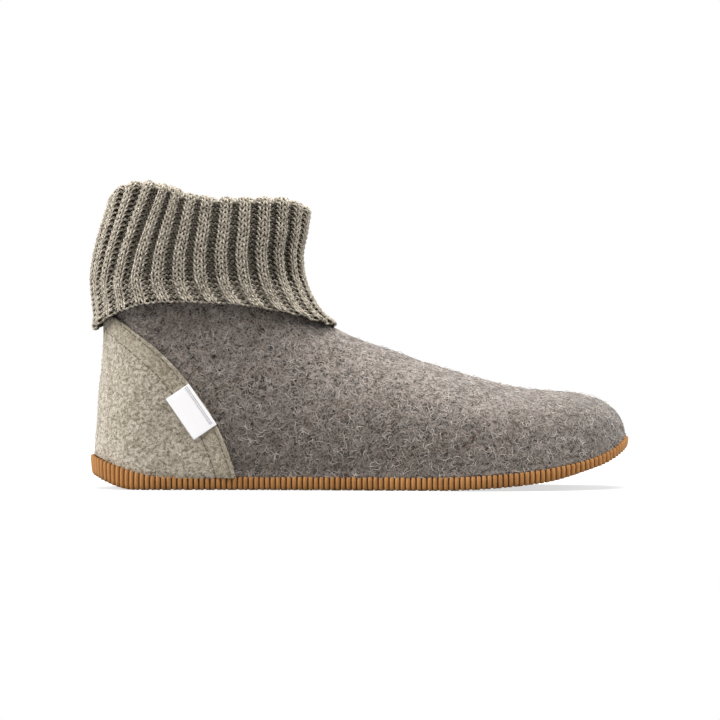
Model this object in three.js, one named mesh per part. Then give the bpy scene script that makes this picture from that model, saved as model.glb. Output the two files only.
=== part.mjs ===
// A slipper boot for the right foot, in millimetres. A hollow felted wool upper is open at the collar and
// underneath, a lighter felt counter is laid over its heel, and a rib-knit cuff stands on the collar and folds
// down over it. A moulded rubber cup sole with a ribbed side closes it, with a felt insole inside and a small
// blank label on the counter's edge. +X runs to the toe, +Z up, and the outer side of the foot faces -Y.

import * as THREE from "three";

// Upper
const FOOT_LENGTH = 261; // outside of the felt, heel to toe
const BALL_WIDTH = 94;
const HEEL_WIDTH = 63;
const COLLAR_HEIGHT = 102;
const INSTEP_HEIGHT = 78.5; // top line where the cuff's hem ends
const TOE_HEIGHT = 47.2;
const TOE_NOSE_HEIGHT = 25; // where the toe reaches furthest forward
const TOE_ROUND = 31; // length of the toe's rounded end
const TOE_SWING = 7; // the toe's lean towards the inner side
const SWING_FROM = 0.5; // share of the length where that lean starts
const FELT_WALL = 3.2;
const LEG_FLARE = 0.08; // share by which the sides widen from heel to collar
const FULLNESS = 2.2; // roundness of the toe's end and of the felt's arch from side to side
const SWELL = { heel: 10, toe: 2 }; // how far above the cup the felt is widest
const TOE_CAP_BACK = 0.36; // back of the ring that passes over the toe, as a share of the collar height

// Sole
const RUBBER_WALL = 1.8; // cup wall at the forefoot
const HEEL_WALL = 4.4;
const HEEL_WALL_REACH = 0.32; // share of the length over which that thickness fades
const SOLE_THICKNESS = 3.2;
const LIP_HEIGHT = 6; // top of the cup wall at the waist
const HEEL_CUP_RISE = 11.6; // how much higher the wall is behind the heel
const HEEL_CUP_REACH = 0.12; // share of the length over which it rises
const TOE_CUP_RISE = 7;
const TOE_CUP_FROM = 0.72;
const CUP_DEPTH = 2.8; // how deep the felt stands in the cup
const TOE_SPRING = 13;
const SPRING_FROM = 0.62; // share of the length where the toe spring starts
const DISH_WIDTH = 5.5; // slope from the cup's wall to its floor
const LIP_BAND = 1; // plain edge above the ribs
const LIP_ROUND = 0.3;
const RIB_PITCH = 2.65;
const RIB_DEPTH = 0.7;
const EDGE_ROLL = { across: 3, up: 2.4 }; // rounding from the side to the underside
const HEEL_ROLL = { along: 24, up: 12.5 }; // how the underside curves up behind the heel
const HEEL_OVERHANG = 2.4; // how far the sole reaches behind the felt
const TOE_ROLL = { along: 19, up: 14.4 };

// Counter, label and insole
const COUNTER_WALL = 1.2;
const LABEL_LENGTH = 24;
const LABEL_WIDTH = 13.4;
const LABEL_WALL = 0.5;
const LABEL_AT = 0.4; // share of the counter's edge, from the sole up, at the label's middle
const COUNTER_TOP = 0.84; // back of the counter, as a share of the collar height
const INSOLE_THICKNESS = 4;
const INSOLE_ROUND = 1;

// Cuff
const CUFF_RISE = 41; // collar to fold
const BACK_FOLD_RISE = 7.5; // extra height of the fold at the back
const KNIT_WALL = 3.4;
const HEM_WALL = 1.8;
const LAYER_GAP = 0.7;
const KNIT_RIBS = 28;
const KNIT_RIB_DEPTH = 1.5;

const FIT_GAP = 0.35; // between pieces that meet
const CUP_GAP = 0.45; // between the felt and the cup's wall
const COUNTER_GAP = 0.65; // between the felt and the counter
const TUCK = 1.3; // how far the felt draws in where it enters the cup
const TUCK_RISE = 0.8; // how far above the cup it starts to swell again

// How fine the surfaces are
const HALF_STATIONS = 24; // points from toe to heel along one side of a felt ring
const TOE_RINGS = 4;
const VAMP_RINGS = 9;
const COUNTER_ROWS = 9;
const COUNTER_HALF_COLUMNS = 11;
const COUNTER_CROWD = 1.6; // how closely its columns crowd round the heel
const LABEL_STEPS = { along: 4, across: 3 };
const TOP_LINE_STEPS = 40;

// Outline of the felt seen from above, about its middle line. Shares: "at" of the length from the heel, "heel"
// of the heel width, "outer" and "inner" of the ball width.
const PLAN = [
  { at: 0.03, heel: 0.325, outer: 0, inner: 0 },
  { at: 0.08, heel: 0.468, outer: 0, inner: 0 },
  { at: 0.16, heel: 0.508, outer: 0, inner: 0 },
  { at: 0.3, heel: 0.36, outer: 0.115, inner: 0.094 },
  { at: 0.45, heel: 0.12, outer: 0.324, inner: 0.262 },
  { at: 0.58, heel: 0, outer: 0.463, inner: 0.4 },
  { at: 0.7, heel: 0, outer: 0.522, inner: 0.467 },
  { at: 0.8, heel: 0, outer: 0.519, inner: 0.463 },
  { at: 0.88, heel: 0, outer: 0.463, inner: 0.415 },
  { at: 0.94, heel: 0, outer: 0.366, inner: 0.336 },
  { at: 0.98, heel: 0, outer: 0.226, inner: 0.212 },
];

// Top line from the shin to the toe box. Shares: "at" of the length, the others of the toe, instep and collar
// heights. The rows above the collar steer how round the front of the ankle is.
const TOP_LINE = [
  { at: 0, toe: 0, instep: 0, collar: 12 },
  { at: 0.2, toe: 0, instep: 0, collar: 2.7 },
  { at: 0.28, toe: 0, instep: 0, collar: 1.6 },
  { at: 0.335, toe: 0, instep: 0, collar: 1.18 },
  { at: 0.372, toe: 0, instep: 0, collar: 1 },
  { at: 0.39, toe: 0, instep: 0.3, collar: 0.697 },
  { at: 0.41, toe: 0, instep: 0.56, collar: 0.43 },
  { at: 0.43, toe: 0, instep: 0.79, collar: 0.2 },
  { at: 0.448, toe: 0, instep: 0.93, collar: 0.06 },
  { at: 0.465, toe: 0.03, instep: 0.96, collar: 0 },
  { at: 0.485, toe: 0.09, instep: 0.89, collar: 0 },
  { at: 0.528, toe: 0.235, instep: 0.765, collar: 0 },
  { at: 0.619, toe: 0.505, instep: 0.497, collar: 0 },
  { at: 0.71, toe: 0.735, instep: 0.268, collar: 0 },
  { at: 0.8, toe: 0.92, instep: 0.079, collar: 0 },
  { at: 0.86, toe: 0.99, instep: 0.01, collar: 0 },
  { at: 0.9, toe: 1, instep: 0, collar: 0 },
];

// Back line of the heel: "high" as a share of the collar height, "lean" forward as a share of the length.
const BACK_LINE = [
  { high: 0.2, lean: 0.004 },
  { high: 0.25, lean: 0.0066 },
  { high: 0.3, lean: 0.0095 },
  { high: 0.37, lean: 0.0105 },
  { high: 0.45, lean: 0.0125 },
  { high: 0.52, lean: 0.0155 },
  { high: 0.6, lean: 0.019 },
  { high: 0.68, lean: 0.0225 },
  { high: 0.8, lean: 0.021 },
  { high: 0.9, lean: 0.016 },
  { high: 1, lean: 0.0075 },
];

// Front edge of the counter, from the sole up, as shares of length and collar height.
const COUNTER_EDGE = [
  { at: 0.268, high: 0.066 },
  { at: 0.257, high: 0.157 },
  { at: 0.243, high: 0.25 },
  { at: 0.2325, high: 0.313 },
  { at: 0.179, high: 0.515 },
  { at: 0.1437, high: 0.622 },
  { at: 0.109, high: 0.7 },
  { at: 0.077, high: 0.767 },
  { at: 0.05, high: 0.82 },
];

// Hem of the cuff: "along" it from back to front, "high" as a share of the collar height.
const HEM = [
  { along: 0, high: 0.752 },
  { along: 0.05, high: 0.8 },
  { along: 0.11, high: 0.838 },
  { along: 0.2, high: 0.875 },
  { along: 0.29, high: 0.892 },
  { along: 0.4, high: 0.895 },
  { along: 0.6, high: 0.882 },
  { along: 0.71, high: 0.863 },
  { along: 0.81, high: 0.843 },
  { along: 0.92, high: 0.808 },
  { along: 1, high: 0.788 },
];

// How far the knit's outer layer stands off what is under it: "up" runs from the hem (0) to the collar (1) to
// the fold (2), and the others are shares of the knit's wall, behind, beside and in front of the leg.
const STAND_OFF = [
  { up: 0, back: 1.3, side: 0.8, front: 1.3 },
  { up: 0.35, back: 1.15, side: 0.65, front: 1.1 },
  { up: 0.7, back: 0.85, side: 0.5, front: 1.3 },
  { up: 1, back: 0.5, side: 0.42, front: 1.55 },
  { up: 1.2, back: 0.1, side: 0.45, front: 1.15 },
  { up: 1.4, back: -0.4, side: 0.42, front: 1.3 },
  { up: 1.6, back: -1.2, side: 0.3, front: 2 },
  { up: 1.8, back: -2.2, side: 0, front: 2.05 },
  { up: 1.93, back: -3.2, side: -0.4, front: 0.9 },
];

// Extra height of the fold round the back, as a share of its full rise.
const FOLD_BUMP = [
  { along: 0, rise: 0.57 },
  { along: 0.05, rise: 0.87 },
  { along: 0.1, rise: 1 },
  { along: 0.2, rise: 1 },
  { along: 0.35, rise: 1 },
  { along: 0.38, rise: 0.5 },
  { along: 0.41, rise: 0 },
  { along: 0.5, rise: 0 },
];

// Section of the cuff, up the outer face, over the fold, down inside to the collar and back up between the
// layers. Inward of the outer face: "walls" times the knit's wall and "gaps" times the gap between the layers.
// "rib" is the share of the rib depth, and "lift" times the fit gap is added to the height.
const CUFF_SECTION = [
  { up: 0, walls: 0, gaps: 0, rib: 0.5, lift: 0 },
  { up: 0.35, walls: 0, gaps: 0, rib: 0.5, lift: 0 },
  { up: 0.75, walls: 0, gaps: 0, rib: 0.5, lift: 0 },
  { up: 1.05, walls: 0, gaps: 0, rib: 1, lift: 0 },
  { up: 1.3, walls: 0, gaps: 0, rib: 1, lift: 0 },
  { up: 1.6, walls: 0, gaps: 0, rib: 1, lift: 0 },
  { up: 1.85, walls: 0, gaps: 0, rib: 1, lift: 0 },
  { up: 1.96, walls: 0.3, gaps: 0.15, rib: 1, lift: 0 },
  { up: 2, walls: 1, gaps: 0.5, rib: 0.5, lift: 0 },
  { up: 1.95, walls: 1.74, gaps: 0.87, rib: 0, lift: 0 },
  { up: 1.75, walls: 2, gaps: 1, rib: 0, lift: 0 },
  { up: 1, walls: 2, gaps: 1, rib: 0, lift: 1 },
  { up: 1, walls: 1, gaps: 1, rib: 0, lift: 1 },
  { up: 1.75, walls: 1, gaps: 1, rib: 0, lift: 0 },
  { up: 1.86, walls: 1, gaps: 0.5, rib: 0, lift: 0 },
  { up: 1.75, walls: 1, gaps: 0, rib: 0, lift: 0 },
  { up: 1, walls: 1, gaps: 0, rib: 0, lift: 0 },
  { up: 0, walls: 1, gaps: 0, rib: 0, lift: 0 },
];

// One rib and the furrow beside it: shares of the rib's width and depth.
const RIB_SHAPE = [
  { across: 0, depth: 0 },
  { across: 0.55, depth: 0 },
  { across: 0.68, depth: 1 },
  { across: 0.88, depth: 1 },
];

const lerp = THREE.MathUtils.lerp;
const clamp = THREE.MathUtils.clamp;
const ease = (t) => THREE.MathUtils.smoothstep(t, 0, 1);

// A smooth curve through rows of [key, value], held level past both ends.
function smoothCurve(points) {
  const slope = points.map((p, i) => {
    const a = points[Math.max(i - 1, 0)];
    const b = points[Math.min(i + 1, points.length - 1)];
    return (b[1] - a[1]) / (b[0] - a[0]);
  });
  return (key) => {
    if (key <= points[0][0]) return points[0][1];
    const last = points.length - 1;
    if (key >= points[last][0]) return points[last][1];
    const i = points.findIndex((p) => p[0] > key) - 1;
    const [k0, v0] = points[i];
    const [k1, v1] = points[i + 1];
    const h = k1 - k0;
    const t = (key - k0) / h;
    const s = 1 - t;
    return (
      v0 * s * s * (1 + 2 * t) +
      v1 * t * t * (1 + 2 * s) +
      h * s * t * (slope[i] * s - slope[i + 1] * t)
    );
  };
}

// Turn from heel (0) to toe (pi), which spaces points closely at both round ends.
const turnAt = (at) => Math.acos(1 - 2 * clamp(at, 0, 1));

function halfPlan(side) {
  const rows = PLAN.map((r) => [turnAt(r.at), r.heel * HEEL_WIDTH + r[side] * BALL_WIDTH]);
  const [first, last] = [rows[0], rows[rows.length - 1]];
  const mirrored = [2 * Math.PI - last[0], -last[1]];
  return smoothCurve([[-first[0], -first[1]], [0, 0], ...rows, [Math.PI, 0], mirrored]);
}
const PLAN_HALF = { outer: halfPlan("outer"), inner: halfPlan("inner") };

const instepLine = smoothCurve(
  TOP_LINE.map((r) => [r.at, r.toe * TOE_HEIGHT + r.instep * INSTEP_HEIGHT + r.collar * COLLAR_HEIGHT]),
);
const backLean = smoothCurve(BACK_LINE.map((r) => [r.high * COLLAR_HEIGHT, r.lean * FOOT_LENGTH]));
const TOE_START = FOOT_LENGTH - TOE_ROUND;

// Height of the top line over x.
function topLine(x) {
  if (x < TOE_START) return instepLine((TOP_LINE[TOP_LINE.length - 1].at * x) / TOE_START);
  const t = clamp((x - TOE_START) / TOE_ROUND, 0, 1);
  return TOE_NOSE_HEIGHT + (TOE_HEIGHT - TOE_NOSE_HEIGHT) * Math.pow(1 - Math.pow(t, FULLNESS), 1 / FULLNESS);
}

// Where the top line, falling towards the toe, passes a height.
function topLineX(height) {
  let [low, high] = [0, TOE_START];
  for (let i = 0; i < 40; i++) {
    const middle = (low + high) / 2;
    if (topLine(middle) > height) low = middle;
    else high = middle;
  }
  return low;
}

const shareFrom = (x, from) => clamp((x / FOOT_LENGTH - from) / (1 - from), 0, 1.02);
const middleLine = (x) => TOE_SWING * Math.pow(shareFrom(x, SWING_FROM), 2);
const roll = (t) => 1 - Math.sqrt(1 - clamp(t, 0, 1) ** 2);
const spring = (x) => TOE_SPRING * Math.pow(shareFrom(x, SPRING_FROM), 2.2);

// Height of the underside over x: flat under heel and ball, curved up at both ends.
function underHeight(x) {
  const behind = HEEL_ROLL.up * roll((HEEL_ROLL.along - HEEL_OVERHANG - x) / HEEL_ROLL.along);
  const ahead = TOE_ROLL.up * roll((x - FOOT_LENGTH - RUBBER_WALL + TOE_ROLL.along) / TOE_ROLL.along);
  return spring(x) + behind + ahead;
}

// Height of the top of the cup wall over x: raised behind the heel, and with the toe.
function lipHeight(x) {
  const behind = Math.pow(clamp(1 - x / FOOT_LENGTH / HEEL_CUP_REACH, 0, 1), 1.4);
  const ahead = Math.pow(shareFrom(x, TOE_CUP_FROM), 8);
  return LIP_HEIGHT + spring(x) + HEEL_CUP_RISE * behind + TOE_CUP_RISE * ahead;
}

// Height at which the felt is widest: low at the toe, where the nose is just above the cup.
const widestHeight = (x) => lipHeight(x) + lerp(SWELL.heel, SWELL.toe, ease(x / FOOT_LENGTH));

// Half width of the felt's outside at x and height z, from the middle line.
function halfWidth(side, x, z) {
  const back = backLean(z);
  const at = (x - back) / (FOOT_LENGTH - back);
  const wide = Math.min(widestHeight(x), topLine(x));
  const rise = clamp((z - wide) / Math.max(topLine(x) - wide, 1e-6), 0, 1);
  const arch = Math.sqrt(1 - Math.pow(rise, FULLNESS));
  const flare = 1 + LEG_FLARE * Math.pow(clamp(z / COLLAR_HEIGHT, 0, 1), 2);
  return PLAN_HALF[side](turnAt(at)) * arch * flare;
}

// A closed ring on the felt's outside, from the front round the outer side to the heel and back along the inner
// side. "height" gives z over x between the ring's back and front.
function feltRing(backX, frontX, height) {
  const ring = [];
  for (let i = 0; i < 2 * HALF_STATIONS; i++) {
    const turn = Math.PI - (Math.PI * i) / HALF_STATIONS;
    const x = lerp(backX, frontX, (1 - Math.cos(turn)) / 2);
    const side = i <= HALF_STATIONS ? "outer" : "inner";
    const across = halfWidth(side, x, height(x)) * (side === "outer" ? -1 : 1);
    const end = i === 0 || i === HALF_STATIONS;
    ring.push(new THREE.Vector3(x, middleLine(x) + (end ? 0 : across), height(x)));
  }
  return ring;
}

// Outward direction of a ring at each point, seen from above.
function ringNormals(ring) {
  return ring.map((p, i) => {
    const a = ring[(i + ring.length - 1) % ring.length];
    const b = ring[(i + 1) % ring.length];
    return new THREE.Vector3(a.y - b.y, b.x - a.x, 0).normalize();
  });
}

// The ring moved outward, seen from above, by a distance that may follow each point's direction.
function grow(ring, distance) {
  const normals = ringNormals(ring);
  return ring.map((p, i) => {
    const d = typeof distance === "number" ? distance : distance(normals[i], p);
    return p.clone().addScaledVector(normals[i], d);
  });
}

// The felt's outer surface as rings from the bottom edge to the collar.
function upperRings() {
  const feather = (x) => lipHeight(x) - CUP_DEPTH + FIT_GAP;
  const atLip = (x) => lipHeight(x) + TUCK_RISE;
  const lowBack = widestHeight(0);
  const widest = feltRing(backLean(lowBack), FOOT_LENGTH, widestHeight);
  const rings = [
    grow(widest, -TUCK).map((p) => p.setZ(feather(p.x))),
    grow(widest, -TUCK).map((p) => p.setZ(atLip(p.x))),
    widest,
  ];
  const midBack = TOE_CAP_BACK * COLLAR_HEIGHT;
  for (let i = 1; i <= TOE_RINGS; i++) {
    const lift = (i / TOE_RINGS) * (Math.PI / 2);
    const frontX = TOE_START + TOE_ROUND * Math.cos(lift);
    rings.push(tiltedRing(lerp(lowBack, midBack, i / TOE_RINGS), frontX, topLine(frontX)));
  }
  const vamp = new THREE.CatmullRomCurve3(
    Array.from({ length: TOP_LINE_STEPS + 1 }, (_, i) => {
      const x = lerp(TOE_START, topLineX(COLLAR_HEIGHT), i / TOP_LINE_STEPS);
      return new THREE.Vector3(x, 0, topLine(x));
    }),
  );
  for (let i = 1; i <= VAMP_RINGS; i++) {
    const front = vamp.getPointAt(i / VAMP_RINGS);
    rings.push(tiltedRing(lerp(midBack, COLLAR_HEIGHT, i / VAMP_RINGS), front.x, front.z));
  }
  return rings;
}

// A felt ring in a plane that tilts from its height at the back to its height at the front.
function tiltedRing(backZ, frontX, frontZ) {
  const backX = backLean(backZ);
  return feltRing(backX, frontX, (x) => lerp(backZ, frontZ, (x - backX) / (frontX - backX)));
}

// A grid of rings moved along the surface's own normal; its end rings stay in their planes.
function growSurface(rings, distance) {
  return rings.map((ring, j) => {
    const level = j === 0 || j === rings.length - 1;
    const below = rings[Math.max(j - 1, 0)];
    const above = rings[Math.min(j + 1, rings.length - 1)];
    if (level) return grow(ring, distance);
    return ring.map((p, i) => {
      const along = ring[(i + 1) % ring.length].clone().sub(ring[(i + ring.length - 1) % ring.length]);
      const up = above[i].clone().sub(below[i]);
      return p.clone().addScaledVector(up.cross(along).normalize(), distance);
    });
  });
}

// Collects rings of points and the faces between them. One ring may have a whole number of times the points
// of the next.
class Skin {
  constructor() {
    this.points = [];
    this.faces = [];
  }
  add(ring) {
    const start = this.points.length;
    this.points.push(...ring);
    return { start, count: ring.length };
  }
  band(a, b) {
    const coarse = a.count <= b.count ? a : b;
    const fine = coarse === a ? b : a;
    const factor = fine.count / coarse.count;
    const at = (r, i) => r.start + (i % r.count);
    const keep = coarse === a;
    const face = (p, q, r) => this.faces.push(keep ? [p, q, r] : [p, r, q]);
    for (let i = 0; i < coarse.count; i++) {
      const half = Math.ceil(factor / 2);
      for (let k = 0; k < factor; k++) {
        const foot = k < half ? i : i + 1;
        face(at(coarse, foot), at(fine, i * factor + k + 1), at(fine, i * factor + k));
      }
      face(at(coarse, i), at(coarse, i + 1), at(fine, i * factor + half));
    }
  }
  // Closes a ring with strips from its outer to its inner side.
  ladder(ring, turned) {
    const { start, count } = ring;
    for (let i = 0; i < count / 2; i++) {
      const quad = [i, i + 1, count - i - 1, (count - i) % count].map((k) => start + k);
      for (const [a, b, c] of [[quad[0], quad[1], quad[2]], [quad[0], quad[2], quad[3]]]) {
        if (a !== b && b !== c && a !== c) this.faces.push(turned ? [a, c, b] : [a, b, c]);
      }
    }
  }
  geometry() {
    const [a, b, c] = [new THREE.Vector3(), new THREE.Vector3(), new THREE.Vector3()];
    const volume = this.faces.reduce((sum, f) => {
      a.copy(this.points[f[0]]);
      b.copy(this.points[f[1]]);
      c.copy(this.points[f[2]]);
      return sum + a.dot(b.cross(c));
    }, 0);
    const faces = volume < 0 ? this.faces.map(([p, q, r]) => [p, r, q]) : this.faces;
    const made = new THREE.BufferGeometry().setFromPoints(this.points);
    made.setIndex(faces.flat());
    return made;
  }
}

// A solid whose section is a closed loop of rings, such as a wall with an inside and an outside.
function loopSolid(rings) {
  const skin = new Skin();
  const added = rings.map((r) => skin.add(r));
  added.forEach((r, i) => skin.band(r, added[(i + 1) % added.length]));
  return skin.geometry();
}

// A solid from its lowest ring to its highest, closed by ladders at both.
function stackSolid(rings) {
  const skin = new Skin();
  const added = rings.map((r) => skin.add(r));
  added.slice(1).forEach((r, i) => skin.band(added[i], r));
  skin.ladder(added[0], true);
  skin.ladder(added[added.length - 1], false);
  return skin.geometry();
}

const UPPER_RINGS = upperRings();

function upper() {
  const inside = growSurface(UPPER_RINGS, -FELT_WALL);
  return loopSolid([...UPPER_RINGS, ...inside.reverse()]);
}

// A plate that lies on the felt between two distances from it, from rows of points on the felt's outside.
function plate(rows, near, far) {
  const columns = rows[0].length;
  const offset = (distance) =>
    rows.map((row, j) =>
      row.map((p, i) => {
        const along = row[Math.min(i + 1, columns - 1)].clone().sub(row[Math.max(i - 1, 0)]);
        const up = rows[Math.min(j + 1, rows.length - 1)][i].clone().sub(rows[Math.max(j - 1, 0)][i]);
        return p.clone().addScaledVector(up.cross(along).normalize(), distance);
      }),
    );
  const inner = offset(near);
  // Each ring runs along a row of the far face and back along the same row of the near face.
  return stackSolid(offset(far).map((row, j) => [...row, ...inner[j].reverse()]));
}

const COUNTER_CURVE = new THREE.CatmullRomCurve3(
  COUNTER_EDGE.map((r) => new THREE.Vector3(r.at * FOOT_LENGTH, 0, r.high * COLLAR_HEIGHT)),
);
const onFelt = (side, x, z) =>
  new THREE.Vector3(x, middleLine(x) + halfWidth(side, x, z) * (side === "outer" ? -1 : 1), z);

// The counter lies on the felt behind its curved edge, and stands on the cup wall.
function counter() {
  const foot = (x) => lipHeight(x) + FIT_GAP;
  const topBack = COUNTER_TOP * COLLAR_HEIGHT;
  const rows = Array.from({ length: COUNTER_ROWS + 1 }, (_, j) => {
    const share = j / COUNTER_ROWS;
    const front = COUNTER_CURVE.getPointAt(share);
    const backZ = lerp(foot(0), topBack, share);
    const backX = backLean(backZ);
    const height = (x) => (j === 0 ? foot(x) : lerp(backZ, front.z, (x - backX) / (front.x - backX)));
    return Array.from({ length: 2 * COUNTER_HALF_COLUMNS + 1 }, (_, i) => {
      const t = Math.abs(i / COUNTER_HALF_COLUMNS - 1);
      const x = lerp(backX, front.x, Math.pow(t, COUNTER_CROWD));
      return onFelt(i < COUNTER_HALF_COLUMNS ? "outer" : "inner", x, height(x));
    });
  });
  return plate(rows, COUNTER_GAP, COUNTER_GAP + COUNTER_WALL);
}

// The label is a small strip sewn down beside the counter's edge, on the outer side.
function label() {
  const [end, along] = [COUNTER_CURVE.getPointAt(LABEL_AT), COUNTER_CURVE.getTangentAt(LABEL_AT)];
  const back = new THREE.Vector3(-along.z, 0, along.x);
  const rows = Array.from({ length: LABEL_STEPS.along + 1 }, (_, j) =>
    Array.from({ length: LABEL_STEPS.across + 1 }, (_, i) => {
      const p = end.clone().addScaledVector(along, (j / LABEL_STEPS.along - 0.5) * LABEL_LENGTH);
      p.addScaledVector(back, FIT_GAP + (i / LABEL_STEPS.across) * LABEL_WIDTH);
      return onFelt("outer", p.x, p.z);
    }),
  );
  const under = COUNTER_GAP + COUNTER_WALL + FIT_GAP;
  return plate(rows, under, under + LABEL_WALL);
}

// The cup: one column of the sole for each place round the felt's bottom edge.
const FEATHER = UPPER_RINGS[0];
const FEATHER_CURVE = new THREE.CatmullRomCurve3(FEATHER, true);

// The cup's wall, thicker round the heel where it carries the counter.
const cupWall = (x) => lerp(HEEL_WALL, RUBBER_WALL, ease(x / FOOT_LENGTH / HEEL_WALL_REACH));

function soleColumn(place) {
  const base = FEATHER_CURVE.getPointAt(place % 1);
  const along = FEATHER_CURVE.getTangentAt(place % 1);
  const out = new THREE.Vector3(-along.y, along.x, 0).normalize();
  if (out.x * (base.x - FOOT_LENGTH / 2) + out.y * base.y < 0) out.negate();
  const wall = CUP_GAP + cupWall(base.x);
  const lip = lipHeight(base.x);
  const under = underHeight(base.x + out.x * (wall - EDGE_ROLL.across));
  const point = (offset, z) => base.clone().addScaledVector(out, offset).setZ(z);
  const onRoll = (angle, dent) =>
    point(
      wall - EDGE_ROLL.across * (1 - Math.cos(angle)) - dent,
      under + EDGE_ROLL.up * (1 - Math.sin(angle)) + dent / 3,
    );
  // The cup's inside, from its wall inwards.
  const floor = (across) => {
    const flat = underHeight(base.x - out.x * Math.max(across, DISH_WIDTH)) + SOLE_THICKNESS;
    return across >= DISH_WIDTH ? flat : lerp(Math.max(lip - CUP_DEPTH, flat), flat, across / DISH_WIDTH);
  };
  return { point, onRoll, floor, wall, lip };
}

function sole() {
  const length = FEATHER_CURVE.getLength() + 2 * Math.PI * (RUBBER_WALL + CUP_GAP);
  const columns = 2 * Math.round(length / RIB_PITCH / 4);
  const fine = 4 * columns;
  const ring = (count, make) => Array.from({ length: count }, (_, i) => make(soleColumn(i / count), i));
  const dent = (i) => (i % 2 ? RIB_DEPTH : 0);
  const skin = new Skin();
  const rings = [
    ring(columns, (c) => c.onRoll(Math.PI / 2, 0)),
    ring(columns, (c) => c.onRoll(Math.PI / 3, 0)),
    ring(fine, (c, i) => c.onRoll(Math.PI / 6, dent(i))),
    ring(fine, (c, i) => c.onRoll(0, dent(i))),
    ring(fine, (c, i) => c.point(c.wall - dent(i), c.lip - LIP_BAND)),
    ring(columns, (c) => c.point(c.wall, c.lip - LIP_BAND / 2)),
    ring(columns, (c) => c.point(c.wall - LIP_ROUND, c.lip)),
    ring(columns, (c) => c.point(CUP_GAP, c.lip)),
    ring(columns, (c) => c.point(CUP_GAP, c.floor(0))),
    ring(columns, (c) => c.point(CUP_GAP - DISH_WIDTH, c.floor(DISH_WIDTH))),
  ].map((r) => skin.add(r));
  rings.slice(1).forEach((r, i) => skin.band(rings[i], r));
  skin.ladder(rings[0], true);
  skin.ladder(rings[rings.length - 1], false);
  return skin.geometry();
}

// The insole lies in the cup's dish, inside the felt.
function insole() {
  const count = 2 * HALF_STATIONS;
  const edge = CUP_GAP + FELT_WALL + CUP_GAP;
  const ring = (share, lift) =>
    Array.from({ length: count }, (_, i) => {
      const c = soleColumn(i / count);
      const across = edge + share * (DISH_WIDTH - edge);
      return c.point(CUP_GAP - across, c.floor(across) + FIT_GAP + lift);
    });
  const low = [ring(1, 0), ring(0, 0)];
  const high = [ring(0, INSOLE_THICKNESS - INSOLE_ROUND), ring(1, INSOLE_THICKNESS)];
  return stackSolid([...low, ...high]);
}

// The knit cuff, as rings from "up" 0 at the hem to 1 at the collar and 2 at the fold.
const STAND = Object.fromEntries(
  ["back", "side", "front"].map((k) => [k, smoothCurve(STAND_OFF.map((r) => [r.up, r[k] * KNIT_WALL]))]),
);
const COLLAR_RING = UPPER_RINGS[UPPER_RINGS.length - 1];
const COLLAR_BACK = COLLAR_RING[HALF_STATIONS].x;
const COLLAR_FRONT = COLLAR_RING[0].x;

const hemHeight = smoothCurve(HEM.map((r) => [r.along, r.high * COLLAR_HEIGHT]));
const foldBump = smoothCurve(FOLD_BUMP.map((r) => [r.along, r.rise * BACK_FOLD_RISE]));
const foldHeight = (along) => COLLAR_HEIGHT + CUFF_RISE + foldBump(along);

// What the knit lies on at a level: the felt below the collar, the collar's outline above it.
function underKnit(up) {
  if (up >= 1) {
    return COLLAR_RING.map((p) => {
      const along = (p.x - COLLAR_BACK) / (COLLAR_FRONT - COLLAR_BACK);
      return p.clone().setZ(lerp(COLLAR_HEIGHT, foldHeight(along), up - 1));
    });
  }
  const frontZ = lerp(hemHeight(1), COLLAR_HEIGHT, up);
  const backX = backLean(lerp(hemHeight(0), COLLAR_HEIGHT, up));
  const frontX = topLineX(frontZ);
  const height = (x) => lerp(hemHeight((x - backX) / (frontX - backX)), COLLAR_HEIGHT, up);
  return feltRing(backX, frontX, height);
}

// The ring spaced evenly along its length, from the front, at the given shares.
function spaced(ring, shares) {
  const curve = new THREE.CatmullRomCurve3(ring, true);
  return shares.map((s) => curve.getPointAt(s));
}

const ribShares = (_, i) => RIB_SHAPE.map((r) => (i + r.across) / KNIT_RIBS);
const RIB_SHARES = Array.from({ length: KNIT_RIBS }, ribShares);
const PLAIN_SHARES = RIB_SHARES.map((four) => [four[0], four[2]]).flat();

// The cuff's ring for one row of its section.
function cuffRing({ up, walls, gaps, rib, lift }) {
  const level = Math.min(up, STAND_OFF[STAND_OFF.length - 1].up);
  const wall = lerp(HEM_WALL, KNIT_WALL, clamp(level, 0, 1));
  const outer = grow(underKnit(up + (lift * FIT_GAP) / CUFF_RISE), (n) => {
    const end = n.x > 0 ? STAND.front(level) : STAND.back(level);
    return wall + lerp(STAND.side(level), end, n.x * n.x) - walls * wall - gaps * LAYER_GAP;
  });
  if (!rib) return spaced(outer, PLAIN_SHARES);
  const ring = spaced(outer, RIB_SHARES.flat());
  const normals = ringNormals(ring);
  const depth = (i) => rib * KNIT_RIB_DEPTH * RIB_SHAPE[i % RIB_SHAPE.length].depth;
  return ring.map((p, i) => p.addScaledVector(normals[i], -depth(i)));
}

const cuff = () => loopSolid(CUFF_SECTION.map(cuffRing));

const FINISH = {
  sole: { color: "#b07a43", roughness: 0.6 },
  upper: { color: "#857b74", roughness: 0.95 },
  counter: { color: "#b3a793", roughness: 0.95 },
  cuff: { color: "#7d766a", roughness: 0.95 },
  insole: { color: "#9a9184", roughness: 0.95 },
  label: { color: "#f2eff0", roughness: 0.7 },
};

const PIECES = {
  outsole: [sole, FINISH.sole],
  upper: [upper, FINISH.upper],
  heel_counter: [counter, FINISH.counter],
  knit_cuff: [cuff, FINISH.cuff],
  insole: [insole, FINISH.insole],
  side_label: [label, FINISH.label],
};

const boot = new THREE.Group();
for (const [name, [make, finish]] of Object.entries(PIECES)) {
  const mesh = new THREE.Mesh(make(), new THREE.MeshStandardMaterial({ metalness: 0, ...finish }));
  mesh.name = name;
  boot.add(mesh);
}

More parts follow.
